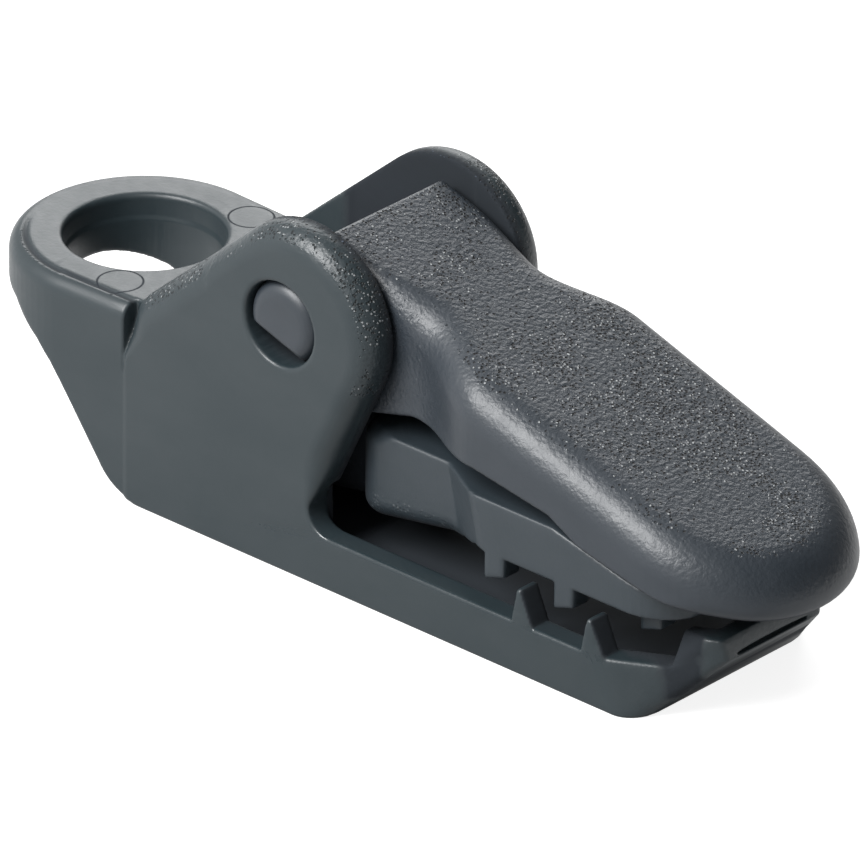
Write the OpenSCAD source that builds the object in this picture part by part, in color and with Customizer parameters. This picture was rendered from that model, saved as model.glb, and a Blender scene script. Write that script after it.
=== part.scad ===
// Tarp clip: a base with an eye and a lower jaw, a lever that turns between its two ears,
// and a clamp jaw that hinges inside the base and is pressed down by the lever's cam.
// X runs from the eye to the nose, Y across, Z up. The origin is on the flat underside,
// right below the lever's pivot. All sizes are in millimetres, and angles in degrees.

/* [Base] */
// Width of the base over its ears and rails
base_w = 22; // [20:0.5:28]
// Distance from the lever's pivot back to the centre of the eye
eye_pitch = 25; // [24:0.5:32]
// Diameter of the hole in the eye
eye_hole_d = 13.8; // [8:0.2:14.6]
// Wall of the eye round its hole
eye_wall = 4.3; // [2.5:0.1:4.4]
// Rounding of the eye's upper edge
eye_round = 1.4; // [0.3:0.1:1.6]
// Height of the eye's top face above the underside
eye_top = 18; // [15:0.5:19]
// Thickness of the eye at its free end
eye_t = 4.9; // [3:0.1:6.6]
// Distance from the lever's pivot forward to the front of the lower jaw
base_reach = 44.2; // [43.6:0.2:50]
// Thickness of each ear
ear_t = 3.3; // [3:0.1:4.6]
// Radius of the ears' round tops
ear_r = 8.5; // [7.6:0.1:9]
// Rounding of the ears' outer edges
ear_round = 2.2; // [0.5:0.1:2.4]

/* [Lower jaw] */
// Height of the side rails
rail_h = 4.7; // [3.6:0.1:5.2]
// Thickness of the side rails and of the front wall
rail_t = 2.2; // [1.5:0.1:3]
// Thickness of the floor between the rails
floor_t = 2.2; // [1.2:0.1:2.4]
// Height of the wall across the front
front_wall_h = 7.5; // [6:0.1:8]
// Height of a tooth above its rail
tooth_h = 3; // [1:0.1:3.4]
// Length of a tooth along its rail
tooth_l = 2.4; // [1.5:0.1:2.6]
// Distance from one tooth to the next
tooth_pitch = 7.5; // [6.8:0.1:8]

/* [Lever] */
// Height of the lever's pivot above the underside
pivot_h = 22.4; // [21.8:0.1:23]
// Diameter of the lever's trunnions
trunnion_d = 7.3; // [5:0.1:8]
// Distance from the pivot forward to the lever's tip
lever_reach = 49.6; // [48:0.1:58]
// Width of the lever's paddle
paddle_w = 21.2; // [16:0.2:22]
// Height of the top edge at the lever's rear end
lever_top = 29.8; // [28.8:0.1:31]
// Slope of the lever's top face, down towards the nose
lever_slope = 18; // [16:0.5:19]
// Rounding of the lever's top edges
lever_round = 3.6; // [1:0.1:4]

/* [Clamp jaw] */
// Width of the clamp jaw's toothed front part
jaw_w = 20; // [16:0.2:21]
// Height of the toothed part's lower face above the underside
jaw_low = 9; // [8.6:0.1:9.6]
// Height of the upper face of the clamp jaw's arm
arm_top = 13.9; // [13:0.1:14.2]
// Diameter of the clamp jaw's trunnions
jaw_pin_d = 3.8; // [2.5:0.1:4.6]
// Side of a peg
peg_w = 2.2; // [1.2:0.1:2.6]
// Length of a peg
peg_l = 2.4; // [1:0.1:2.8]

/* [Hidden] */
$fn = 64;
// Radial clearance of a trunnion in its hole
running_gap = 0.05;
// Clearance beside a part that turns between the ears, and at the end of a blind socket
side_gap = 0.4;
// Clearance between two parts that rest close together
rest_gap = 0.35;
// Overrun of a cut past the face it opens
over = 1;
// Thickness of the slices that a tapering body is spanned between
slice_t = 0.01;

// Base
half_w = base_w / 2;
eye_r = eye_hole_d / 2 + eye_wall;
eye_x = -eye_pitch;
// Below the eye's own thickness its hole widens by this much all round
eye_relief = 0.4;
// The sides widen from the eye to full width along this length
flank_l = 7.6;
channel_w = base_w - 2 * ear_t;
channel_rear = -9.4;
// The tail slants from the eye's underside down to a round heel on the flat underside
heel_lead = 9.6;
heel_x = eye_x + heel_lead;
heel_r = 5.4;
heel_turn = 58;
slant_top = 5.4;
slant_mid = 0.2;
slant_mid_z = 9.9;
// The ears are round at the top, with a straight rear edge to the eye and a front edge to the rail
ear_x = 1.2;
ear_lift = 0.2;
ear_z = pivot_h + ear_lift;
ear_foot_r = 2.6;
ear_rear_x = -13.2;
ear_rear_drop = 2.2;
ear_front_x = 0.7;
ear_front_z = 7.6;
fillet_r = 2.2;
// The front leans out from the end of the flat underside, and carries a shallow groove
prow_back = 5.3;
prow_h = 5.7;
prow_corner_back = 2.3;
prow_corner_side = 2.8;
prow_corner_bulge = 0.7;
groove_w = 9;
groove_h = 0.5;
groove_deep = 0.6;
nose_back = 9.6;
nose_side = 5.2;
nose_bulge = 0.1;
front_tooth_l = 4.1;
tooth_tip = 0.4;
tooth_row = 18.6;
first_tooth = base_reach - tooth_row;

// Pivots
trunnion_r = trunnion_d / 2;
trunnion_sink = 0.1;
ramp_drop = 1.4;
hinge_x = -5;
hinge_z = 7.5;
hinge_boss_r = 4;
socket_deep = 2;

// Lever
neck_w = channel_w - 2 * side_gap;
lever_rear = 1.7;
hub_r = 4.7;
flare_start = 11.4;
flare_end = 20.8;
nose_l = 11.2;
nose_bottom = 9.6;
skirt_z = 16.5;
skirt_dip = 15.2;
skirt_step = 13.5;
skirt_dip_x = 28.9;
skirt_step_x = 32.1;
cam_r = pivot_h - arm_top - rest_gap;
cam_fall = 2.7;
cam_turn = 110;
cam_flat = 3;
pocket_rear = 19;
pocket_front = 38;
pocket_roof = 3;
pocket_wall = 2.4;
pocket_web = 2;

// Clamp jaw
peg_offset = 4;
peg_lead = first_tooth - peg_offset;
peg_back = 1.3;
jaw_rear = peg_lead - peg_back;
jaw_front = base_reach - rail_t - side_gap;
arm_low = 7;
arm_low_back = 3.6;
arm_low_x = jaw_rear - arm_low_back;
jaw_taper = 5;
arm_front = jaw_rear - jaw_taper;
jaw_corner_back = 5;
jaw_corner_side = 4.2;
corner_back_share = 0.3;
corner_side_share = 0.45;
peg_cut = 0.75;
peg_inset = 0.3;

// Points on an arc about [x, z], from angle a0 to a1
function arc(x, z, r, a0, a1, n = 8) =
    [for (i = [0:n]) let(a = a0 + (a1 - a0) * i / n) [x + r * cos(a), z + r * sin(a)]];

// A side view outline, drawn in X and Z, carried across the width w
module across(w) {
    rotate([90, 0, 0]) linear_extrude(w, center = true) children();
}

// A shaft or hole along Y with its centre at x, z
module crossbar(x, z, r, w) {
    translate([x, 0, z]) rotate([90, 0, 0]) cylinder(r = r, h = w, center = true);
}

// Side view of the base below its ears: eye, slanted tail, flat underside, front, rail
module base_side() {
    far = eye_x - eye_r - over;
    wall_x = base_reach - front_tooth_l;
    foot_x = ear_front_x + ear_foot_r;
    polygon(concat(
        [[base_reach, prow_h], [base_reach, front_wall_h], [wall_x, front_wall_h], [wall_x, rail_h]],
        arc(foot_x + fillet_r, rail_h + fillet_r, fillet_r, 270, 180, 5),
        [[foot_x, ear_front_z], [ear_rear_x, eye_top], [far, eye_top], [far, eye_top - eye_t]],
        [[eye_x - slant_top, eye_top - eye_t], [eye_x - slant_mid, slant_mid_z]],
        arc(heel_x, heel_r, heel_r, 270 - heel_turn, 270),
        [[base_reach, 0]]
    ));
}

// Outline of the eye and its flanks from above, drawn in by inset
module eye_plan(inset) {
    translate([eye_x, 0]) circle(r = eye_r - inset);
    polygon([
        [eye_x, -eye_r + inset], [eye_x + flank_l, -half_w + inset], [ear_x, -half_w + inset],
        [ear_x, half_w - inset], [eye_x + flank_l, half_w - inset], [eye_x, eye_r - inset]
    ]);
}

// The eye and its flanks, with the upper edge rounded
module rear_block() {
    hull() {
        linear_extrude(slice_t) eye_plan(0);
        for (p = arc(0, 0, eye_round, 0, 90, 4))
            translate([0, 0, eye_top - eye_round + p[1] - slice_t])
                linear_extrude(slice_t) eye_plan(eye_round - p[0]);
    }
}

// Outline of the front half from above: straight sides, then corners that turn in by back and side
module front_plan(reach, y, back, side, bulge) {
    near = [for (t = [0:0.25:1])
        [reach - back * (1 - t), side * t - y] + bulge * sin(180 * t) * [side, -back] / norm([side, back])];
    polygon(concat(
        [[ear_rear_x, -y]], near,
        [for (i = [len(near) - 1:-1:0]) [near[i][0], -near[i][1]]],
        [[ear_rear_x, y]]
    ));
}

// The front half, drawn in by inset: the blunt nose leans out from the underside to the prow's edge
module front_block(inset) {
    reach = base_reach - inset;
    y = half_w - inset;
    hull() {
        linear_extrude(slice_t)
            front_plan(reach - prow_back, y, prow_corner_back, prow_corner_side, prow_corner_bulge);
        translate([0, 0, prow_h]) linear_extrude(eye_top - prow_h)
            front_plan(reach, y, nose_back - inset / 2, nose_side - inset / 2, nose_bulge);
    }
}

// A flat round plate of thickness ear_t, with its edge on one face rounded
module ear_round_plate(r) {
    rotate([90, 0, 0]) rotate_extrude($fn = 32) polygon(concat(
        [[0, 0], [r, 0]],
        arc(r - ear_round, ear_t - ear_round, ear_round, 0, 90, 5),
        [[0, ear_t]]
    ));
}

// One ear with its outer face at -Y: a round top, tapering to the eye and to the rail
module ear() {
    translate([0, -half_w + ear_t, 0]) hull() {
        translate([ear_x, 0, ear_z]) ear_round_plate(ear_r);
        translate([ear_rear_x, 0, eye_top - ear_rear_drop]) ear_round_plate(ear_foot_r);
        translate([ear_front_x, 0, ear_front_z]) ear_round_plate(ear_foot_r);
    }
}

// A tooth of the lower jaw on one rail: upright behind, sloping down in front
module rail_tooth(x) {
    translate([x, -half_w + rail_t / 2, 0]) across(rail_t) polygon([
        [0, floor_t], [0, rail_h + tooth_h], [tooth_tip, rail_h + tooth_h],
        [tooth_l, rail_h], [tooth_l, floor_t]
    ]);
}

// The base: eye, ears, rails, teeth and front wall are one moulding
module base() {
    color([0.2, 0.21, 0.22]) difference() {
        union() {
            intersection() {
                across(2 * eye_r + base_w) base_side();
                union() {
                    rear_block();
                    front_block(0);
                }
            }
            for (side = [0, 1]) mirror([0, side, 0]) {
                ear();
                rail_tooth(first_tooth);
                intersection() {
                    rail_tooth(first_tooth + tooth_pitch);
                    linear_extrude(pivot_h)
                        front_plan(base_reach, half_w, nose_back, nose_side, nose_bulge);
                }
            }
        }
        translate([eye_x, 0, -over]) {
            cylinder(d = eye_hole_d, h = eye_top + 2 * over);
            cylinder(r = eye_hole_d / 2 + eye_relief, h = eye_top - eye_t + over);
        }
        translate([channel_rear, -channel_w / 2, floor_t])
            cube([ear_front_x + ear_foot_r - channel_rear + over, channel_w, pivot_h + ear_r * 2]);
        intersection() {
            front_block(rail_t);
            translate([ear_front_x + ear_foot_r, -half_w, floor_t]) cube([base_reach, base_w, eye_top]);
        }
        crossbar(0, pivot_h, trunnion_r + running_gap, base_w + 2 * over);
        crossbar(hinge_x, hinge_z, jaw_pin_d / 2 + running_gap, channel_w + 2 * socket_deep);
        translate([base_reach - groove_deep, -groove_w / 2, prow_h - groove_h / 2])
            cube([groove_deep + over, groove_w, groove_h]);
    }
}

// Height of the lever's sloping top face, and of its lower edge, at x
function lever_top_z(x) = lever_top - (x - lever_rear) * tan(lever_slope);
function lever_low_z(x) = lookup(x, [
    [lever_rear, skirt_z], [flare_end, skirt_z], [skirt_dip_x, skirt_dip],
    [skirt_step_x, skirt_step], [lever_reach, nose_bottom]
]);

// Half outline of the lever from above, as pairs of x and half width from the rear to the tip
lever_outline = concat(
    [[lever_rear, neck_w / 2], [(lever_rear + flare_start) / 2, neck_w / 2]],
    [for (i = [0:8]) let(s = i / 8, e = (1 - cos(180 * s)) / 2)
        [flare_start + (flare_end - flare_start) * s, (neck_w + (paddle_w - neck_w) * e) / 2]],
    [[skirt_dip_x, paddle_w / 2], [skirt_step_x, paddle_w / 2]],
    [for (a = [0:7:84]) [lever_reach - nose_l + nose_l * sin(a), paddle_w / 2 * cos(a)]]
);
lever_last = len(lever_outline) - 1;

// Outward direction of the half outline at point i
function outward(i) = i == 0 ? [0, 1] :
    let(p = lever_outline[i - 1], q = lever_outline[min(i + 1, lever_last)], d = q - p)
    [-d[1], d[0]] / norm(d);

// The outline drawn in by a distance, at the height that height(x) - drop gives
function lever_ring(inset, drop) = [for (i = [0:lever_last])
    let(p = lever_outline[i] - outward(i) * inset)
    [p[0], p[1], lever_top_z(p[0]) - drop]];

// The sloping lever as a stack of rings: lower edge, upright side, then the rounded top edge
module lever_shell() {
    bends = 6;
    low = [for (p = lever_outline) [p[0], p[1], lever_low_z(p[0])]];
    rings = concat([low], [for (k = [0:bends]) let(a = 90 * k / bends)
        lever_ring(lever_round * (1 - cos(a)), lever_round * (1 - sin(a)))]);
    n = lever_last + 1;
    points = [for (r = rings) each concat(r, [for (p = r) [p[0], -p[1], p[2]]])];
    ring_n = 2 * n;
    top = (len(rings) - 1) * ring_n;
    sides = [for (k = [0:len(rings) - 2], i = [0:lever_last - 1])
        let(a = k * ring_n + i, b = a + ring_n) each [
            [a, a + 1, b + 1], [a, b + 1, b],
            [a + n, b + 1 + n, a + 1 + n], [a + n, b + n, b + 1 + n]
        ]];
    caps = [for (i = [0:lever_last - 1]) each [
        [i, i + n, i + 1 + n], [i, i + 1 + n, i + 1],
        [top + i, top + i + 1 + n, top + i + n], [top + i, top + i + 1, top + i + 1 + n]
    ]];
    rear = [for (k = [0:len(rings) - 2]) let(a = k * ring_n, b = a + ring_n) each [
        [a, b, b + n], [a, b + n, a + n]
    ]];
    tip = [for (k = [0:len(rings) - 2]) let(a = k * ring_n + lever_last, b = a + ring_n) each [
        [a, b + n, b], [a, a + n, b + n]
    ]];
    polyhedron(points, concat(sides, caps, rear, tip));
}

// The cam under the pivot: its radius falls steadily towards the rear, and its front joins the neck
module cam() {
    n = 16;
    across(neck_w) polygon(concat(
        [for (i = [0:n]) let(r = cam_r - cam_fall * i / n, a = -90 - cam_turn * i / n)
            [r * cos(a), pivot_h + r * sin(a)]],
        [[flare_start, pivot_h], [flare_start, skirt_z], [cam_flat, pivot_h - cam_r]]
    ));
}

// The lever: paddle, neck, cam and two snap-in trunnions with a ramp on each end
module lever() {
    color([0.24, 0.25, 0.26]) difference() {
        union() {
            lever_shell();
            crossbar(0, pivot_h, hub_r, neck_w);
            cam();
            crossbar(0, pivot_h, trunnion_r, base_w - 2 * trunnion_sink);
        }
        for (side = [0, 1]) mirror([0, side, 0]) {
            translate([0, -half_w + trunnion_sink, pivot_h])
                rotate([0, lever_slope, 0]) translate([0, 0, -ramp_drop]) rotate([45, 0, 0])
                translate([-trunnion_d, -trunnion_d, -trunnion_d])
                cube([2 * trunnion_d, trunnion_d, 2 * trunnion_d]);
            translate([0, -(paddle_w / 2 - pocket_wall + pocket_web / 2) / 2, 0])
                across(paddle_w / 2 - pocket_wall - pocket_web / 2) polygon([
                    [pocket_rear, lever_low_z(pocket_rear) - over],
                    [pocket_rear, lever_top_z(pocket_rear) - pocket_roof],
                    [pocket_front, lever_top_z(pocket_front) - pocket_roof],
                    [pocket_front, nose_bottom - over]
                ]);
        }
    }
}

// Height of the clamp jaw's upper face at x: it stays a little below the lever's lower edge
function jaw_top_z(x) = min(arm_top, lever_low_z(x) - rest_gap);

// Side view of the clamp jaw in front of its hinge
module jaw_side() {
    polygon(concat(
        [[hinge_x, hinge_z - hinge_boss_r], [arm_front, arm_low], [arm_low_x, arm_low], [jaw_rear, jaw_low]],
        [[jaw_front, jaw_low], [jaw_front, jaw_top_z(jaw_front)]],
        [[skirt_step_x, jaw_top_z(skirt_step_x)], [skirt_dip_x, arm_top], [hinge_x, arm_top]]
    ));
}

// Outline of the clamp jaw from above: a narrow arm that flares to the toothed part
module jaw_plan() {
    n = neck_w / 2;
    w = jaw_w / 2;
    half = concat(
        [[hinge_x, n], [arm_front, n], [jaw_rear, w]],
        [[jaw_front - jaw_corner_back, w]],
        [[jaw_front - jaw_corner_back * corner_back_share, w - jaw_corner_side * corner_side_share]],
        [[jaw_front, w - jaw_corner_side]]
    );
    polygon(concat([for (i = [len(half) - 1:-1:0]) [half[i][0], -half[i][1]]], half));
}

// A peg on one side of the clamp jaw, cut back a little at its front
module peg(x, y) {
    translate([x, -y + peg_w / 2, 0]) across(peg_w) polygon([
        [0, jaw_low + over], [0, jaw_low - peg_l], [peg_w, jaw_low - peg_l + peg_cut], [peg_w, jaw_low + over]
    ]);
}

// The clamp jaw: arm, hinge boss with trunnions, toothed part and pegs
module clamp_jaw() {
    color([0.17, 0.18, 0.19]) union() {
        intersection() {
            across(base_w) jaw_side();
            linear_extrude(pivot_h) jaw_plan();
        }
        crossbar(hinge_x, hinge_z, hinge_boss_r, neck_w);
        crossbar(hinge_x, hinge_z, jaw_pin_d / 2, channel_w + 2 * (socket_deep - side_gap));
        for (side = [0, 1]) mirror([0, side, 0]) {
            for (i = [0, 1]) peg(peg_lead + i * tooth_pitch, jaw_w / 2 - peg_inset);
            peg(peg_lead + 2 * tooth_pitch, jaw_w / 2 - jaw_corner_side / 2);
        }
    }
}

base();
lever();
clamp_jaw();
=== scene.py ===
import math

import bpy
import numpy as np
from mathutils import Matrix, Vector


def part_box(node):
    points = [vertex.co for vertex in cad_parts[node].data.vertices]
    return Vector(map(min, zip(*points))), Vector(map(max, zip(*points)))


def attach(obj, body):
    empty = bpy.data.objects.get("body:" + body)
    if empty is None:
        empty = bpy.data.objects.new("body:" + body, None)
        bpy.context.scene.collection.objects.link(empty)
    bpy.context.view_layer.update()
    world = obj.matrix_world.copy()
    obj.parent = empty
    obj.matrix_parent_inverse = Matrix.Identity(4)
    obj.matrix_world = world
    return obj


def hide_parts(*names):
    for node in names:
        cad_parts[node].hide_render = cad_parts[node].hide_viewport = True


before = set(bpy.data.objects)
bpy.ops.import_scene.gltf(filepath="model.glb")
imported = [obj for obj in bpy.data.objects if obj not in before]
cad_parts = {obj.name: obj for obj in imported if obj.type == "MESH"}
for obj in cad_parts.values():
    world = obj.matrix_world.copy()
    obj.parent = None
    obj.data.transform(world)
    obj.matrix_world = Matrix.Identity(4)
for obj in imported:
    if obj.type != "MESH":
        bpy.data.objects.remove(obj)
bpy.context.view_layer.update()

# The base is one injection moulding in charcoal plastic: a cord eye at the rear, a slanted tail,
# two ears with round tops, and a lower jaw with toothed rails and a blunt prow.
# It comes first, because the lever and the clamp jaw both snap in between its ears.

# Every form is a distance field on a fine grid round its piece, in millimetres.
mm = 0.001
cell = 0.2


def corners_of(node):
    """The low and the high corner of a CAD piece, in millimetres."""
    low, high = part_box(node)
    return np.array(low) / mm, np.array(high) / mm


def arc(x, z, r, start, end, steps=16):
    """Points on an arc about x, z, from one angle in degrees to another."""
    turn = np.radians(np.linspace(start, end, steps + 1))
    return [(x + r * math.cos(a), z + r * math.sin(a)) for a in turn]


def both_sides(half):
    """The points of a plan from those of one half, which the other half mirrors."""
    return half + [(along, -across) for along, across in half[::-1]]


def outline(points, u, v):
    """Distance from each point u, v to a closed outline, negative inside it."""
    corners = np.array(points, float)
    shape = np.broadcast(u, v).shape
    u, v = np.broadcast_to(u, shape).ravel(), np.broadcast_to(v, shape).ravel()
    nearest = np.full(u.size, 1e9)
    inside = np.zeros(u.size, bool)
    for (au, av), (bu, bv) in zip(corners, np.roll(corners, -1, 0)):
        du, dv = bu - au, bv - av
        length = du * du + dv * dv
        if length < 1e-12:
            continue
        along = np.clip(((u - au) * du + (v - av) * dv) / length, 0, 1)
        nearest = np.minimum(nearest, (u - au - along * du) ** 2 + (v - av - along * dv) ** 2)
        # A line from a point inside crosses the outline an odd number of times.
        if dv:
            inside ^= ((av > v) != (bv > v)) & (u < du * (v - av) / dv + au)
    return (np.sqrt(nearest) * np.where(inside, -1, 1)).reshape(shape).astype(np.float32)


def keep(a, b, r):
    """What lies inside both a and b, with the edge between them rounded to radius r."""
    return np.minimum(-r, np.maximum(a, b)) + np.hypot(np.maximum(a + r, 0), np.maximum(b + r, 0))


def cut(a, b, r):
    """a without b, with the rim rounded to radius r."""
    return keep(a, -b, r)


def ease(value, start, end):
    """0 before start, 1 after end, and a smooth step between them."""
    t = np.clip((value - start) / (end - start), 0, 1)
    return t * t * (3 - 2 * t)


def mould_space(low, high):
    """The three axes of a fine grid round a piece, a few cells wider than it on each side."""
    steps = [np.arange(a - 2.5 * cell, b + 3 * cell, cell) for a, b in zip(low, high)]
    return np.meshgrid(*steps, indexing="ij", sparse=True)


def sample(field, at):
    """The field between its grid points, at fractional grid places."""
    limit = np.array(field.shape) - 2
    floor = np.clip(np.floor(at).astype(int), 0, limit)
    t = at - floor
    total = 0
    for corner in range(8):
        step = np.array([corner & 1, corner >> 1 & 1, corner >> 2 & 1])
        weight = np.prod(np.where(step, t, 1 - t), axis=1)
        total = total + weight * field[tuple((floor + step).T)]
    return total


def netted(field):
    """Corners, in grid places, and quads of a closed net along the zero level of a field.

    Each grid cell that the surface passes through holds one corner, at the mean of the places
    where the surface crosses the cell's edges. Each crossed edge has one quad round it.
    """
    cells = np.array(field.shape) - 1
    stride = np.array([cells[1] * cells[2], cells[2], 1])
    total = np.zeros((int(cells.prod()), 3))
    count = np.zeros(int(cells.prod()))
    quads = []
    for axis in range(3):
        near = [slice(None)] * 3
        far = [slice(None)] * 3
        near[axis] = slice(0, -1)
        far[axis] = slice(1, None)
        a, b = field[tuple(near)], field[tuple(far)]
        start = np.argwhere((a < 0) != (b < 0))
        va, vb = a[tuple(start.T)], b[tuple(start.T)]
        crossing = start.astype(float)
        crossing[:, axis] += va / (va - vb)
        others = [k for k in range(3) if k != axis]
        around = []
        for du, dv in ((0, 0), (1, 0), (1, 1), (0, 1)):
            near_cell = start.copy()
            near_cell[:, others[0]] -= du
            near_cell[:, others[1]] -= dv
            index = near_cell @ stride
            around.append(index)
            for k in range(3):
                total[:, k] += np.bincount(index, crossing[:, k], len(count))
            count += np.bincount(index, minlength=len(count))
        quad = np.stack(around, 1)
        flip = (va < 0) == (axis == 1)
        quad[flip] = quad[flip][:, ::-1]
        quads.append(quad)
    used = np.nonzero(count)[0]
    renumber = np.zeros(len(count), int)
    renumber[used] = np.arange(len(used))
    return total[used] / count[used][:, None], renumber[np.concatenate(quads)]


def settled(field, at):
    """Grid places moved onto the zero level of a field, down its slope and in short steps."""
    slopes = np.gradient(field)
    longest_step = 0.4
    for _ in range(3):
        slope = np.stack([sample(s, at) for s in slopes], 1)
        push = sample(field, at) / np.maximum((slope ** 2).sum(1), 1e-6)
        at = at - np.clip(push[:, None] * slope, -longest_step, longest_step)
    return at


def moulded(name, field, axes, faces):
    """A mesh object along the zero level of a distance field, thinned to a number of triangles."""
    field = field.astype(np.float32)
    at, quads = netted(field)
    at = settled(field, at)
    origin = np.array([axis.ravel()[0] for axis in axes])
    mesh = bpy.data.meshes.new(name)
    mesh.from_pydata(((origin + at * cell) * mm).tolist(), [], quads.tolist())
    mesh.update()
    piece = bpy.data.objects.new(name, mesh)
    bpy.context.scene.collection.objects.link(piece)
    thin = piece.modifiers.new("thin", "DECIMATE")
    thin.ratio = min(1, faces / (2 * len(quads)))
    bpy.context.view_layer.update()
    shaped = piece.evaluated_get(bpy.context.evaluated_depsgraph_get())
    piece.modifiers.clear()
    piece.data = bpy.data.meshes.new_from_object(shaped)
    piece.data.name = name
    piece.data.polygons.foreach_set("use_smooth", [True] * len(piece.data.polygons))
    even = piece.modifiers.new("even shading", "WEIGHTED_NORMAL")
    even.weight = 80
    return piece


base_low, base_high = corners_of("base")
reach = base_high[0]
half_w = 11.0
eye_x, eye_r, eye_hole_r = -25.0, 11.2, 6.9
eye_top, eye_under = 18.0, 13.1
tail_x, tail_r = -15.4, 5.4
crease_x, flank_x = -17.3, -16.9
channel, floor_t = 7.7, 2.2
rail_h, rail_t = 4.7, 2.2
foot_x, foot_r = 5.5, 2.2
prow_h, prow_back = 5.7, 5.3
wall_h, wall_t, wall_lean, wall_draft = 7.5, 4.0, 0.5, 0.1
pivot_z, pivot_hole_r = 22.4, 3.72
hinge_x, hinge_z = -5.0, 7.5
fine_edge, plate_edge = 0.2, 0.22

x, y, z = mould_space(base_low, base_high)
side = np.abs(y)

# Seen from the side: the front wall, the rails' top, the slope between the ears, the eye and the tail.
past_eye = -38
slope_top = -13.2
wall = [(reach, 0), (reach, prow_h), (reach - wall_lean, wall_h), (reach - wall_t, wall_h)]
under_eye = [(eye_x - 5.4, eye_under), (-27.0, 11.5), (-25.4, 10.05), (-24.4, 8.75)]
base_side = outline(
    wall + [(reach - wall_t - wall_draft, rail_h)]
    + arc(foot_x, rail_h + foot_r, foot_r, 270, 180)
    + [(slope_top, eye_top), (past_eye, eye_top), (past_eye, eye_under)]
    + under_eye + arc(tail_x, tail_r, tail_r, 212, 270),
    x, z,
)

# The tail is crowned: it stands further to the rear towards its middle, so there its outline is
# read from a little way ahead.
tail_crown, crown_end, crown_gone = 1.2, -21, -16
ahead = tail_crown * (1 - (y / half_w) ** 2) * (1 - ease(x, crown_end, crown_gone)) / cell
column = np.clip(np.arange(x.shape[0])[:, None, None] + ahead, 0, x.shape[0] - 1.001)
first = column.astype(int)
profile = base_side[:, 0, :]
row = np.arange(profile.shape[1])[None, None, :]
base_side = profile[first, row] * (1 - column + first) + profile[first + 1, row] * (column - first)

# The prow's corner from above, from the flank to its tip: shares of the way, and how far each point
# lies behind the tip and in from the flank. At the foot the corner is a plain quarter of an ellipse.
corner_shares = (0, 0.15, 0.3, 0.4, 0.9, 1)
corner_back = (11, 9.8, 8.8, 7.7, 0.5, 0)
corner_in = (0, 0.12, 0.5, 1.07, 4.95, 5.5)
corner_steps = 15
foot_back, foot_in = 2.3, 2.8
crease_half = 10.9


def base_plan(height):
    """Outline of the base from above at a height: the prow leans out as it rises."""
    lean = min(height / prow_h, 1)
    tip = reach - prow_back * (1 - lean)
    near = []
    for share in np.linspace(0, 1, corner_steps):
        back = np.interp(share, corner_shares, corner_back)
        inward = np.interp(share, corner_shares, corner_in)
        low_back = foot_back * (1 - share)
        low_inward = foot_in * (1 - math.sqrt(1 - share * share))
        along = tip - back * lean - low_back * (1 - lean)
        near.append((along, inward * lean + low_inward * (1 - lean) - half_w))
    eye = arc(eye_x, 0, eye_r, 270, 90, 40)
    return both_sides([(crease_x, -crease_half), (flank_x, -half_w)] + near) + eye[::-1]


levels = [round(float(height), 3) for height in np.clip(z.ravel(), 0, prow_h)]
plan_at = {level: outline(base_plan(level), x[:, :, 0], y[:, :, 0]) for level in sorted(set(levels))}
plan = np.stack([plan_at[level] for level in levels], 2)

# The block of eye, tail and lower jaw. A fine crease runs along the near edge of the eye's top, and
# beside the ears' upper part the block stops short, so that their own rounding shows.
upper = ease(z, 11, 15)
eye_front = -12
tail_edge, eye_round = 0.3, 1.1
block = keep(base_side, plan, np.where(x < eye_front, tail_edge + eye_round * upper, plate_edge))
crease_inset, crease_r, crease_rim = 1.35, 0.2, 0.25
crease = np.hypot(plan + crease_inset, z - eye_top) - crease_r * ease(-y, 3, 8)
block = np.where(x < crease_x, cut(block, crease, crease_rim), block)
ear_low, ear_inner, ear_seam = 12, 9.2, 0.12
beside_ears = np.maximum(np.maximum(crease_x - x, ear_inner - side), ear_low - z)
block = cut(block, beside_ears, ear_seam)

# The flanks and ears are flat plates with a generous rounding, which dies out down the flank.
ear_x, ear_z, ear_r = 1.2, 22.6, 8.5
plate_low, plate_middle = 3, -8
rear_round, front_round = 2.4, 2
ear_side = outline(
    arc(ear_x, ear_z, ear_r, -25, 131, 40)
    + [(-16.1, 18.8), (flank_x, 17.8), (crease_x, 16.4), (crease_x, plate_low)]
    + [(2.4, plate_low), (foot_x - foot_r, rail_h + foot_r)],
    x, z,
)
flank_side = np.minimum(ear_side, np.maximum(base_side, z - ear_low))
rounding = plate_edge + np.where(
    x < plate_middle, rear_round * ease(z, 12.4, 16.6), front_round * ease(z, 6, 12))
flank = keep(flank_side, plan, rounding)
flank = keep(keep(flank, crease_x - x, fine_edge), channel - side, fine_edge)
base = np.minimum(block, flank)

# Between the ears runs a channel for the lever and the clamp jaw, and ahead of it lies a tray.
channel_rear, channel_front, channel_rim = -9.4, 4.3, 0.25
tray_rear, tray_top = foot_x - foot_r, 8.4
floor_round, channel_corner, tray_corner = 0.6, 0.8, 0.5
channel_room = keep(keep(side - channel, floor_t - z, floor_round), channel_rear - x, channel_corner)
base = cut(base, np.maximum(channel_room, x - channel_front), channel_rim)
tray = keep(keep(plan + rail_t, floor_t - z, floor_round), tray_rear - x, tray_corner)
base = np.where(z < tray_top, cut(base, tray, fine_edge), base)

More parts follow.
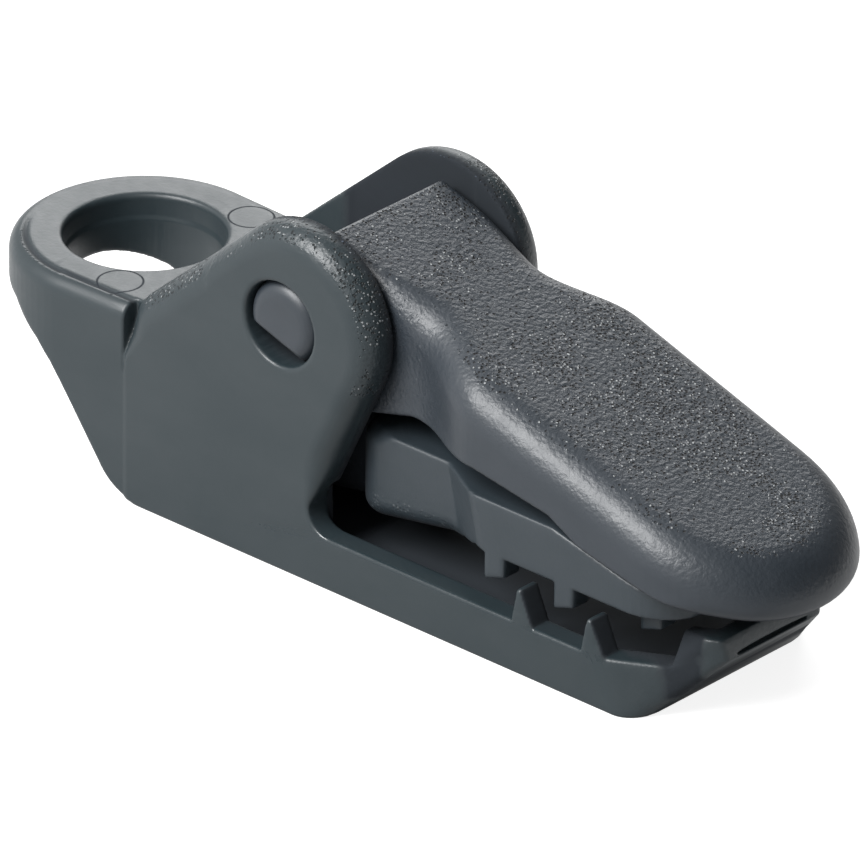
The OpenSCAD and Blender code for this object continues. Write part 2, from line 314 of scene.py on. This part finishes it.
# Each rail has two teeth, steep at the rear and sloped at the front.
tooth_h = 3
tooth_form = (
    (-0.1, floor_t), (-0.1, rail_h), (0.5, rail_h + tooth_h), (0.95, rail_h + tooth_h),
    (1.6, rail_h + tooth_h / 2), (2.3, rail_h - 0.1), (2.3, floor_t),
)
teeth_behind_tip = (18.6, 11.1)
for behind in teeth_behind_tip:
    tooth_x = reach - behind
    tooth_side = outline([(tooth_x + along, height) for along, height in tooth_form], x, z)
    tooth = keep(tooth_side, np.abs(side - half_w + rail_t / 2) - rail_t / 2, plate_edge)
    base = np.minimum(base, np.maximum(tooth, plan))

# Above the rails the front wall is narrower, and its ends slope in as they rise. The slant turns
# the offset from a sloping end into a distance.
wall_half, wall_slope, wall_slant, wall_rear, wall_edge = 7.95, 0.5, 1.12, 38, 0.25
wall_end = (side - wall_half + wall_slope * (z - rail_h)) / wall_slant
base = np.where((x > wall_rear) & (z > rail_h), keep(base, wall_end, wall_edge), base)

# The eye's bore is tighter below a fine step, and its rim is rounded. Each ear has a hole for a
# trunnion of the lever and a blind socket for a stub of the clamp jaw.
bore_in, bore_rim, bore_top_rim, pivot_rim = 0.15, 0.25, 0.2, 0.35
bore_r = eye_hole_r - bore_in - bore_in * (1 - ease(z, 15.7, 16.1))
base = cut(base, np.hypot(x - eye_x, y) - bore_r, bore_rim + bore_top_rim * upper)
base = cut(base, np.hypot(x, z - pivot_z) - pivot_hole_r, pivot_rim)
socket_r, socket_deep = 1.95, 2
socket = keep(np.hypot(x - hinge_x, z - hinge_z) - socket_r, side - channel - socket_deep, fine_edge)
base = cut(base, socket, fine_edge)

# A narrow slot with pointed ends crosses the front wall's face.
slot_z, slot_half_h, slot_half_w, slot_deep = 5.8, 0.24, 4.7, 0.85
slot_corner, slot_rim = 0.1, 0.12
slot = np.abs(z - slot_z) - slot_half_h * np.sqrt(np.maximum(1 - (y / slot_half_w) ** 2, 0))
slot = keep(keep(slot, reach - slot_deep - x, slot_corner), side - slot_half_w, slot_corner)
base = cut(base, slot, slot_rim)

base_piece = moulded("base_moulding", base, (x, y, z), faces=60000)


def surface(piece):
    """Places in millimetres and outward directions of a piece's vertices."""
    count = len(piece.data.vertices)
    place, facing = np.empty(count * 3), np.empty(count * 3)
    piece.data.vertices.foreach_get("co", place)
    piece.data.vertices.foreach_get("normal", facing)
    return place.reshape(-1, 3) / mm, facing.reshape(-1, 3)


def mark(piece, name, amount):
    """Stores an amount from 0 to 1 at each vertex of a piece, for its material to read."""
    layer = piece.data.attributes.new(name, "FLOAT", "POINT")
    layer.data.foreach_set("value", np.clip(amount, 0, 1))


def add(tree, kind, inputs, **settings):
    """A new node with its settings and the values or links of its inputs."""
    node = tree.nodes.new(kind)
    for key, value in settings.items():
        setattr(node, key, value)
    for key, value in inputs.items():
        if isinstance(value, bpy.types.NodeSocket):
            tree.links.new(value, node.inputs[key])
        else:
            node.inputs[key].default_value = value
    return node


def calc(tree, operation, *values):
    """The result of a sum, such as a product or the larger of two, on values or links."""
    return add(tree, "ShaderNodeMath", dict(enumerate(values)), operation=operation).outputs[0]


def fade(tree, value, start, end, low=0.0, high=1.0):
    """A result that goes from low to high while a value goes from start to end."""
    return add(tree, "ShaderNodeMapRange", {0: value, 1: start, 2: end, 3: low, 4: high}).outputs[0]


def cloudy(tree, where, scale, detail, roughness=0.5):
    """A cloudy pattern, mostly near a half."""
    settings = {"Vector": where, "Scale": scale, "Detail": detail, "Roughness": roughness}
    return add(tree, "ShaderNodeTexNoise", settings).outputs[0]


def tint(tree, amount, colour, other, way="MIX"):
    """A colour with another one laid over it, or multiplied into it, by an amount."""
    mixed = add(tree, "ShaderNodeMix", {0: amount, 6: colour, 7: other}, data_type="RGBA", blend_type=way)
    return mixed.outputs[2]


def new_group(name, inputs, outputs):
    """An empty shader group with named sockets."""
    group = bpy.data.node_groups.new(name, "ShaderNodeTree")
    for way, sockets in (("INPUT", inputs), ("OUTPUT", outputs)):
        for label, kind in sockets.items():
            group.interface.new_socket(name=label, in_out=way, socket_type="NodeSocket" + kind)
    return group, group.nodes.new("NodeGroupInput").outputs


def give(group, results):
    """Puts a group's results on its named outputs."""
    given = group.nodes.new("NodeGroupOutput").inputs
    for label, result in results.items():
        group.links.new(result, given[label])


# The mould is spark-textured: a fine uneven skin, with sharp little dots in patches where the
# grain is coarse. About three in four of the dots are pits, and the others are raised tips.
grain, taken = new_group(
    "spark_grain",
    {"Amount": "Float", "Fineness": "Float", "Depth": "Float"},
    {"Normal": "Vector", "Pits": "Float", "Tips": "Float"},
)
where = add(grain, "ShaderNodeTexCoord", {}).outputs["Object"]
cells = add(grain, "ShaderNodeTexVoronoi", {"Vector": where, "Scale": taken["Fineness"], "Randomness": 1.0})
chance = add(grain, "ShaderNodeSeparateColor", {0: cells.outputs["Color"]}).outputs
dot = fade(grain, cells.outputs["Distance"], 0.46, 0.24)
skin = cloudy(grain, where, scale=2500.0, detail=2.0)
patch = fade(grain, cloudy(grain, where, scale=130.0, detail=2.0), 0.42, 0.58, 0.06, 0.9)
chosen = calc(grain, "LESS_THAN", chance[0], patch)
coarse = fade(grain, taken["Amount"], 0.55, 0.9)
speck = calc(grain, "MULTIPLY", calc(grain, "MULTIPLY", dot, coarse), chosen)
sunk = fade(grain, chance[1], 0.72, 0.75, 1.0, 0.0)
up_or_down = calc(grain, "MULTIPLY_ADD", sunk, -2.0, 1.0)
relief = calc(grain, "MULTIPLY_ADD", skin, 0.5, calc(grain, "MULTIPLY", speck, up_or_down))
shown = calc(grain, "MULTIPLY", relief, taken["Amount"])
pits = calc(grain, "MULTIPLY", speck, sunk)
tips = calc(grain, "SUBTRACT", speck, pits)
give(grain, {
    "Normal": add(grain, "ShaderNodeBump", {"Distance": taken["Depth"], "Height": shown}).outputs[0],
    "Pits": calc(grain, "MULTIPLY", pits, taken["Amount"]),
    "Tips": calc(grain, "MULTIPLY", tips, taken["Amount"]),
})

# Two pins that pushed the moulding out of its mould left thin rings on the eye's top face, one
# on each side.
rings, taken = new_group("ejector_rings", {"Radius": "Float"}, {"Rings": "Float"})
pin_mark = (0.0204, 0.0079, eye_top * mm)
line_core, line_edge = 0.00004, 0.00012
where = add(rings, "ShaderNodeTexCoord", {}).outputs["Object"]
one_side = add(rings, "ShaderNodeVectorMath", {0: where}, operation="ABSOLUTE").outputs[0]
off_pin = add(rings, "ShaderNodeVectorMath", {0: one_side, 1: pin_mark}, operation="DISTANCE")
off_line = calc(rings, "SUBTRACT", off_pin.outputs["Value"], taken["Radius"])
give(rings, {"Rings": fade(rings, calc(rings, "ABSOLUTE", off_line), line_core, line_edge, 1.0, 0.0)})

# Moulded plastic is never quite even: it is a little greyer and duller where the melt flowed last.
# Where a piece is marked for painted shade, down in the hollows and under the pieces, it is rough and its
# colour is darkened, and the ejector rings' lines are darkened the same way.
# Pits carry painted shade, tips a painted glint, and worn edges are smoother, so they shine.
flow_and_shade, taken = new_group(
    "melt_flow_and_shade",
    {"Plastic": "Color", "Pale Plastic": "Color", "Pits": "Float", "Dullness": "Float",
     "Shade And Rings": "Float", "Worn": "Float", "Tips": "Float"},
    {"Color": "Color", "Roughness": "Float"},
)
# Painted shade for the pits, a painted glint for the tips, and painted shade for the hollows, which also
# darkens the ejector rings' lines.
painted_pit_shade = (0.1, 0.1, 0.1, 1)
painted_tip_glint = (0.34, 0.36, 0.37, 1)
painted_shade_and_ring_tint = (0.25, 0.31, 0.42, 1)
hollow_roughness = 0.9
rough_from_haze, rough_from_pale, rough_from_wear = 0.12, 0.04, -0.2
where = add(flow_and_shade, "ShaderNodeTexCoord", {}).outputs["Object"]
drawn_out = add(flow_and_shade, "ShaderNodeMapping", {"Vector": where, "Scale": (1.0, 2.2, 2.2)}).outputs[0]
pale = fade(flow_and_shade, cloudy(flow_and_shade, drawn_out, scale=90.0, detail=4.0, roughness=0.6), 0.35, 0.7)
tone = tint(flow_and_shade, pale, taken["Plastic"], taken["Pale Plastic"])
with_pit_shade = tint(flow_and_shade, taken["Pits"], tone, painted_pit_shade, "MULTIPLY")
with_tip_glint = tint(flow_and_shade, taken["Tips"], with_pit_shade, painted_tip_glint)
haze = cloudy(flow_and_shade, where, scale=900.0, detail=3.0)
hazy = calc(flow_and_shade, "MULTIPLY_ADD", haze, rough_from_haze, taken["Dullness"])
dull = calc(flow_and_shade, "MULTIPLY_ADD", pale, rough_from_pale, hazy)
rough_here = calc(flow_and_shade, "MAXIMUM", taken["Shade And Rings"], taken["Pits"])
rough = add(flow_and_shade, "ShaderNodeMix", {0: rough_here, 2: dull, 3: hollow_roughness}).outputs[0]
give(flow_and_shade, {
    "Color": tint(flow_and_shade, taken["Shade And Rings"], with_tip_glint, painted_shade_and_ring_tint, "MULTIPLY"),
    "Roughness": calc(flow_and_shade, "MULTIPLY_ADD", taken["Worn"], rough_from_wear, rough),
})


def charcoal(name, plastic, pale_plastic, dullness, fineness, depth, ring_r=None):
    """Charcoal plastic with the mould's grain, painted shade in its pits and hollows and painted glints on
    its tips, where the piece is marked for them.
    """
    material = bpy.data.materials.new(name)
    material.use_nodes = True
    tree = material.node_tree
    shader = tree.nodes["Principled BSDF"].inputs
    marked = {
        label: add(tree, "ShaderNodeAttribute", {}, attribute_name=label).outputs["Fac"]
        for label in ("grain", "painted_shade", "worn")
    }
    spark = add(tree, "ShaderNodeGroup", {}, node_tree=grain)
    spark.inputs["Fineness"].default_value = fineness
    spark.inputs["Depth"].default_value = depth
    tree.links.new(marked["grain"], spark.inputs["Amount"])
    # Painted shade in the hollows and under the piece, together with the ejector rings' lines, darkens the
    # colour and roughens the plastic.
    shade_and_rings = marked["painted_shade"]
    if ring_r:
        lines = add(tree, "ShaderNodeGroup", {}, node_tree=rings)
        lines.inputs["Radius"].default_value = ring_r
        shade_and_rings = calc(tree, "MAXIMUM", shade_and_rings, lines.outputs["Rings"])
    tone_and_shade = add(tree, "ShaderNodeGroup", {}, node_tree=flow_and_shade)
    tone_and_shade.inputs["Plastic"].default_value = (*plastic, 1)
    tone_and_shade.inputs["Pale Plastic"].default_value = (*pale_plastic, 1)
    tone_and_shade.inputs["Dullness"].default_value = dullness
    tree.links.new(spark.outputs["Pits"], tone_and_shade.inputs["Pits"])
    tree.links.new(spark.outputs["Tips"], tone_and_shade.inputs["Tips"])
    tree.links.new(marked["worn"], tone_and_shade.inputs["Worn"])
    tree.links.new(shade_and_rings, tone_and_shade.inputs["Shade And Rings"])
    tree.links.new(tone_and_shade.outputs["Color"], shader["Base Color"])
    tree.links.new(tone_and_shade.outputs["Roughness"], shader["Roughness"])
    tree.links.new(spark.outputs["Normal"], shader["Normal"])
    shader["IOR"].default_value = 1.58
    return material


# The grain shows round the ears' edges and on the prow, but not inside the trunnions' holes.
place, facing = surface(base_piece)
along, across, height = place[:, 0], np.abs(place[:, 1]), place[:, 2]
off_side = 1 - ease(np.abs(facing[:, 1]), 0.8, 0.97)
on_ear = ease(height, 17.6, 18.8)
on_prow = ease(along, 36, 39)
out_of_hole = ease(np.hypot(along, height - pivot_z), 4.2, 4.6)
mark(base_piece, "grain", off_side * (0.85 * on_ear * out_of_hole + 0.4 * on_prow))

# The channel and the tray are rough and carry painted shade, and so do the teeth's front faces and the
# crease.
between_rails = (1 - ease(across, 8.3, 8.9)) * ease(height, 1.6, 2.1)
ahead_of_eye = ease(along, -10.2, -9.6) * (1 - ease(along, 42.2, 42.6))
tooth_fronts = ease(facing[:, 0], 0.3, 0.6) * ease(height, 4.3, 5)
tooth_fronts *= ease(along, 25, 26) * (1 - ease(along, 39, 40))
off_eye = np.where(along < eye_x, np.hypot(along - eye_x, across) - eye_r, across - half_w)
shade_in_crease = 0.8 * (1 - ease(np.abs(off_eye + crease_inset), 0.12, 0.34)) * ease(height, 17.5, 17.8)
shade_in_crease *= (1 - ease(along, crease_x, flank_x)) * (1 - ease(place[:, 1], -8, -4))
shade_in_hollows = np.maximum(between_rails * ahead_of_eye, tooth_fronts)
mark(base_piece, "painted_shade", np.maximum(shade_in_hollows, shade_in_crease))

# The rails' outer top edges are rubbed smooth by the sheets that were pulled over them.
at_rail_top = 1 - ease(np.abs(height - rail_h + 0.1), 0.15, 0.4)
mark(base_piece, "worn", at_rail_top * ease(across, 10.6, 10.8) * ease(along, 2, 4))
base_piece.data.materials.append(charcoal(
    "base_plastic", plastic=(0.016, 0.026, 0.031), pale_plastic=(0.023, 0.033, 0.038),
    dullness=0.34, fineness=3700.0, depth=0.00016, ring_r=0.0019))
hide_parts("base")
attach(base_piece, "base")

# The lever is one moulding in the same plastic: a wide paddle on a narrow neck, with a cam under it.
# It is rounded all along its upper edge, and hollowed below to save plastic and avoid sink marks.
# It turns on two trunnions, each with a ramp on its end that lets it snap into an ear.

lever_low, lever_high = corners_of("lever")
slope = math.radians(18)
tip_x, rear_x, top_z = lever_high[0], 1.7, 29.8
neck_half, paddle_half, neck_under = 7.3, 10.6, 16.5
flare_x, flare_len = 11.4, 9.4
nose_len, nose_blunt = 11.2, 0.95
behind_neck = rear_x - 6
past_tip, past_top = 60, 45

x, y, z = mould_space(lever_low, lever_high)
side = np.abs(y)

# From above: a neck that flares in an S-curve to the paddle, and a round nose.
widening = paddle_half - neck_half
flare = [
    (flare_x + flare_len * share, neck_half + widening * (1 - math.cos(math.pi * share)) / 2)
    for share in np.linspace(0, 1, 17)
]
nose = []
for a in np.radians(np.arange(0, 91, 5)):
    ahead = nose_len * math.sin(a) ** nose_blunt
    nose.append((tip_x - nose_len + ahead, paddle_half * max(math.cos(a), 0) ** nose_blunt))
half_plan = [(behind_neck, neck_half)] + flare + nose
lever_plan = outline(both_sides(half_plan), x[:, :, 0], y[:, :, 0])[:, :, None]

# From the side: a straight sloping top, and an underside that follows the clamp jaw.
lever_top = (z - (top_z - (x - rear_x) * math.tan(slope))) * math.cos(slope)
lever_side = outline(
    [(behind_neck, neck_under), (20.8, neck_under), (28.9, 15.2), (32.1, 13.5), (49.6, 9.6)]
    + [(past_tip, 7.3), (past_tip, past_top), (behind_neck, past_top)],
    x, z,
)
neck_round, paddle_round = 1.2, 2.2
rear_edge, low_edge, nose_low_round = 0.3, 0.35, 1.3
shell = keep(lever_plan, lever_top, neck_round + paddle_round * ease(x, 5, 14))
shell = keep(shell, rear_x - x, rear_edge)
shell = keep(shell, lever_side, low_edge + nose_low_round * ease(x, 40, 46))

# The cam's radius falls over the lever's whole travel, and a round hub joins it to the trunnions.
cam_r, cam_fall, travel, cam_low = 8.15, 2.7, 110, 14.25
hub_r, hub_edge = 4.7, 0.5
cam = []
for share in np.linspace(0, 1, 25):
    r, a = cam_r - cam_fall * share, math.radians(-90 - travel * share)
    cam.append((r * math.cos(a), pivot_z + r * math.sin(a)))
cam_side = outline(cam + [(flare_x, pivot_z), (flare_x, neck_under), (3, cam_low)], x, z)
hub_side = np.minimum(np.hypot(x, z - pivot_z) - hub_r, cam_side)
lever = np.minimum(shell, keep(hub_side, side - neck_half, hub_edge))

# A trunnion's end is rounded, and the lower part of it slopes off at 45 degrees as a ramp.
pin_r, pin_end, pin_round = 3.65, 10.9, 1.4
ramp_line, ramp_edge = 1.4, 0.12
trunnion = keep(np.hypot(x, z - pivot_z) - pin_r, side - pin_end, pin_round)
above_ramp = x * math.sin(slope) + (z - pivot_z) * math.cos(slope) + ramp_line
ramp = (above_ramp + pin_end - side) / math.sqrt(2)
lever = np.minimum(lever, keep(trunnion, -ramp, ramp_edge))

# Two pockets lie under the paddle, with a rib between them.
pocket_rear, pocket_front, pocket_mid, pocket_half = 19, 38, 4.6, 3.6
pocket_corner, pocket_rim = 0.8, 0.4
pocket_side = outline(
    [(pocket_rear, 0), (pocket_rear, 21.2), (pocket_front, 15.0), (pocket_front, 0)], x, z)
pocket = keep(pocket_side, np.abs(side - pocket_mid) - pocket_half, pocket_corner)
lever = cut(lever, pocket, pocket_rim)

lever_piece = moulded("lever_moulding", lever, (x, y, z), faces=50000)

# The grain is coarse on the top, finer round its edge and on the neck, and left off the trunnions.
place, facing = surface(lever_piece)
along, across, height = place[:, 0], np.abs(place[:, 1]), place[:, 2]
upward = facing[:, 2]
on_top = (0.5 * ease(upward, 0.05, 0.4) + 0.5 * ease(upward, 0.8, 0.94)) * ease(height, 9, 13)
on_neck = 0.6 * (1 - ease(along, 12, 20)) * ease(height, 12, 15)
on_pin = (1 - ease(along, 4, 5)) * ease(across, 7.4, 7.8)
mark(lever_piece, "grain", np.maximum(on_top, on_neck) * (1 - on_pin))
# Faces turned downwards are rough and carry painted shade.
mark(lever_piece, "painted_shade", ease(-upward, 0.5, 0.8))
lever_piece.data.materials.append(charcoal(
    "lever_plastic", plastic=(0.022, 0.029, 0.037), pale_plastic=(0.029, 0.036, 0.045),
    dullness=0.34, fineness=3400.0, depth=0.00022))
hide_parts("lever")
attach(lever_piece, "lever")

# The clamp jaw is the third moulding: a narrow arm that hinges deep between the ears, and a
# toothed front as wide as the lower jaw. The lever's cam presses on its arm, and its pegs
# push the sheet down between the teeth of the rails.

jaw_low, jaw_high = corners_of("clamp_jaw")
jaw_front = jaw_high[0]
arm_top = 13.9
shoulder_x, shoulder_r = 4.6, 3
jaw_half, jaw_under, peg_low = 10.0, 9.0, 6.6
flare_start, flare_end = 15.3, 20.3
corner_len, corner_w = 5, 4.2

x, y, z = mould_space(jaw_low, jaw_high)
side = np.abs(y)

# From above: the arm with its rounded shoulders, a flare, and the front with rounded corners.
# The flare leans: its upper edge lies further back than its lower edge.
quarter = np.radians(np.arange(0, 91, 10))
root_half = neck_half - shoulder_r
shoulder = [
    (shoulder_x + shoulder_r - shoulder_r * math.cos(a), root_half + shoulder_r * math.sin(a))
    for a in quarter
]
front_corner = [
    (jaw_front - corner_len + corner_len * math.sin(a), jaw_half - corner_w + corner_w * math.cos(a))
    for a in quarter
]
half_plan = (
    [(hinge_x, root_half)] + shoulder + [(flare_start, neck_half)]
    + [(flare_end - 0.6, jaw_half - 0.25), (flare_end + 0.2, jaw_half)] + front_corner
)
flare_lean = 0.22
leant = x - flare_lean * (arm_top - z) * ease(x, 12, 16) * (1 - ease(x, 23, 30))
jaw_plan = outline(both_sides(half_plan), leant, y)

jaw_side = outline(
    [(hinge_x, 3.5), (flare_start, 7.0), (16.7, 7.0), (flare_end, jaw_under), (jaw_front, jaw_under)]
    + [(jaw_front, 10.9), (32.1, 13.15), (28.9, arm_top), (hinge_x, arm_top)],
    x, z,
)
low_edge, arm_low_round = 0.35, 1.65
high_edge, arm_high_round = 0.2, 1.3
half_height = 10.2
low_round = low_edge + arm_low_round * (1 - ease(x, 15, 20))
high_round = high_edge + arm_high_round * (1 - ease(x, 7, 9.5))
jaw = keep(jaw_plan, jaw_side, np.where(z < half_height, low_round, high_round))

# A round knuckle ends the arm, and a stub on each side of it sits in an ear's socket.
knuckle_r, knuckle_edge = 4, 0.5
stub_r, stub_len, stub_edge = 1.9, 1.6, 0.3
off_hinge = np.hypot(x - hinge_x, z - hinge_z)
jaw = np.minimum(jaw, keep(off_hinge - knuckle_r, side - neck_half, knuckle_edge))
jaw = np.minimum(jaw, keep(off_hinge - stub_r, side - channel - stub_len, stub_edge))

# Three pegs under each side of the front end in a slope that rises towards the nose.
peg_len, peg_half_w, peg_rise, peg_edge = 2.2, 1.1, 0.75, 0.35
peg_top = jaw_under + 1
peg_places = ((21.6, jaw_half), (29.1, jaw_half), (36.6, 7.9))
for peg_x, peg_y in peg_places:
    peg_side = outline(
        [(peg_x, peg_top), (peg_x, peg_low), (peg_x + peg_len, peg_low + peg_rise)]
        + [(peg_x + peg_len, peg_top)],
        x, z,
    )
    peg = keep(peg_side, np.abs(side - peg_y + peg_half_w) - peg_half_w, peg_edge)
    jaw = np.minimum(jaw, peg)

jaw_piece = moulded("clamp_jaw_moulding", jaw, (x, y, z), faces=36000)

# The skin is fine all over and a little coarser along the arm's low edge. The underside is rough
# and carries painted shade, and so does the arm behind its shoulders.
place, facing = surface(jaw_piece)
along, height = place[:, 0], place[:, 2]
on_low_edge = (1 - ease(height, 8.2, 9.6)) * (1 - ease(along, 20, 22))
mark(jaw_piece, "grain", 0.2 + 0.45 * on_low_edge)
shade_behind_shoulders = 1 - ease(along, shoulder_x, shoulder_x + shoulder_r)
mark(jaw_piece, "painted_shade", np.maximum(ease(-facing[:, 2], 0.5, 0.8), shade_behind_shoulders))
jaw_piece.data.materials.append(charcoal(
    "jaw_plastic", plastic=(0.022, 0.031, 0.038), pale_plastic=(0.029, 0.038, 0.046),
    dullness=0.36, fineness=3300.0, depth=0.00012))
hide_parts("clamp_jaw")
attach(jaw_piece, "clamp_jaw")

# A sheet of pale card and two soft boxes, as in a plain product photograph. The card keeps
# the clip's shadow, and what the camera sees beyond it is white.

# The room is evenly bright, apart from a dark side beyond the nose and the far flank, and a
# window opposite it.
world = bpy.data.worlds.new("studio")
bpy.context.scene.world = world
world.use_nodes = True
room = world.node_tree
room.nodes.clear()
dark_side = (0.7, 0.64, 0.3)
white = (1, 1, 1, 1)
toward = add(room, "ShaderNodeTexCoord", {}).outputs["Generated"]
nearness = add(room, "ShaderNodeVectorMath", {0: toward, 1: dark_side}, operation="DOT_PRODUCT")
nearness = nearness.outputs["Value"]
wall_glow = fade(room, nearness, 0.45, 0.9, 0.42, 0.05)
window_glow = fade(room, nearness, 0.0, -0.7, 0.0, 0.5)
glow = calc(room, "ADD", wall_glow, window_glow)
sky = add(room, "ShaderNodeBackground", {"Color": white, "Strength": glow}).outputs[0]
backdrop = add(room, "ShaderNodeBackground", {"Color": white, "Strength": 1}).outputs[0]
seen = add(room, "ShaderNodeLightPath", {}).outputs["Is Camera Ray"]
pick = add(room, "ShaderNodeMixShader", {0: seen, 1: sky, 2: backdrop}).outputs[0]
add(room, "ShaderNodeOutputWorld", {"Surface": pick})


clip_middle = Vector((0.007, 0, 0.012))


def soft_box(name, direction, distance, size, power):
    """A square soft light that faces the clip from a direction."""
    data = bpy.data.lights.new(name, "AREA")
    data.shape = "SQUARE"
    data.size = size
    data.energy = power
    lamp = bpy.data.objects.new(name, data)
    bpy.context.scene.collection.objects.link(lamp)
    back = Vector(direction).normalized()
    lamp.location = clip_middle + back * distance
    lamp.rotation_euler = back.to_track_quat("Z", "Y").to_euler()


soft_box("front_soft_box", (-0.19, -0.66, 0.7), distance=0.6, size=0.34, power=5.4)
soft_box("rear_soft_box", (-0.56, 0.66, 0.46), distance=0.6, size=0.35, power=1.45)

# The card is almost white to the camera. In the clip's glossy reflections alone it also glows,
# more behind the clip and to its rear: a painted reflection on the clip.
half_card = 3
card_grey, camera_lift = (0.4, 0.4, 0.4, 1), 0.86
card_mesh = bpy.data.meshes.new("card")
card_mesh.from_pydata(
    [(-half_card, -half_card, 0), (half_card, -half_card, 0), (half_card, half_card, 0)]
    + [(-half_card, half_card, 0)],
    [], [(0, 1, 2, 3)],
)
card_sheet = bpy.data.objects.new("card", card_mesh)
bpy.context.scene.collection.objects.link(card_sheet)
card = bpy.data.materials.new("pale_card")
card.use_nodes = True
paper = card.node_tree
paper_shader = paper.nodes["Principled BSDF"].inputs
paper_shader["Base Color"].default_value = card_grey
paper_shader["Roughness"].default_value = 0.9
paper_shader["Emission Color"].default_value = white
ray = add(paper, "ShaderNodeLightPath", {}).outputs
to_camera = calc(paper, "MULTIPLY", ray["Is Camera Ray"], camera_lift)
spot = add(paper, "ShaderNodeTexCoord", {}).outputs["Object"]
spot = add(paper, "ShaderNodeSeparateXYZ", {0: spot}).outputs
# The glow behind and to the rear is seen only by glossy rays: a painted reflection.
behind = fade(paper, spot["Y"], -0.008, 0.015, 0.0, 0.6)
to_the_rear = fade(paper, spot["X"], 0.03, -0.04, 0.0, 0.3)
painted_reflection = calc(paper, "ADD", behind, to_the_rear)
backdrop_and_painted_reflection = calc(paper, "MULTIPLY_ADD", ray["Is Glossy Ray"], painted_reflection, to_camera)
paper.links.new(backdrop_and_painted_reflection, paper_shader["Emission Strength"])
card_mesh.materials.append(card)

# The camera stands far off with a long lens, above the near side and ahead of the nose. Its
# place and lens were fitted to the circles, straight edges and corners in the photograph.

azimuth, elevation, roll = (math.radians(a) for a in (41.96, 27.78, 0.57))
distance = 1.5
aim = Vector((7.0, 0, 10.85)) * mm
focal_px, photo_px, sensor = 18435.4, 865, 36
back = Vector((
    math.sin(azimuth) * math.cos(elevation), -math.cos(azimuth) * math.cos(elevation), math.sin(elevation)))
level_right = Vector((math.cos(azimuth), math.sin(azimuth), 0))
level_up = back.cross(level_right)
right = level_right * math.cos(roll) + level_up * math.sin(roll)
up = level_up * math.cos(roll) - level_right * math.sin(roll)
camera_data = bpy.data.cameras.new("camera")
camera_data.sensor_width = sensor
camera_data.lens = focal_px * sensor / photo_px
camera_data.clip_end = 20
camera = bpy.data.objects.new("camera", camera_data)
bpy.context.scene.collection.objects.link(camera)
pose = Matrix((right, up, back)).transposed().to_4x4()
pose.translation = aim + back * distance
camera.matrix_world = pose
bpy.context.scene.camera = camera
bpy.context.scene.view_settings.view_transform = "Standard"
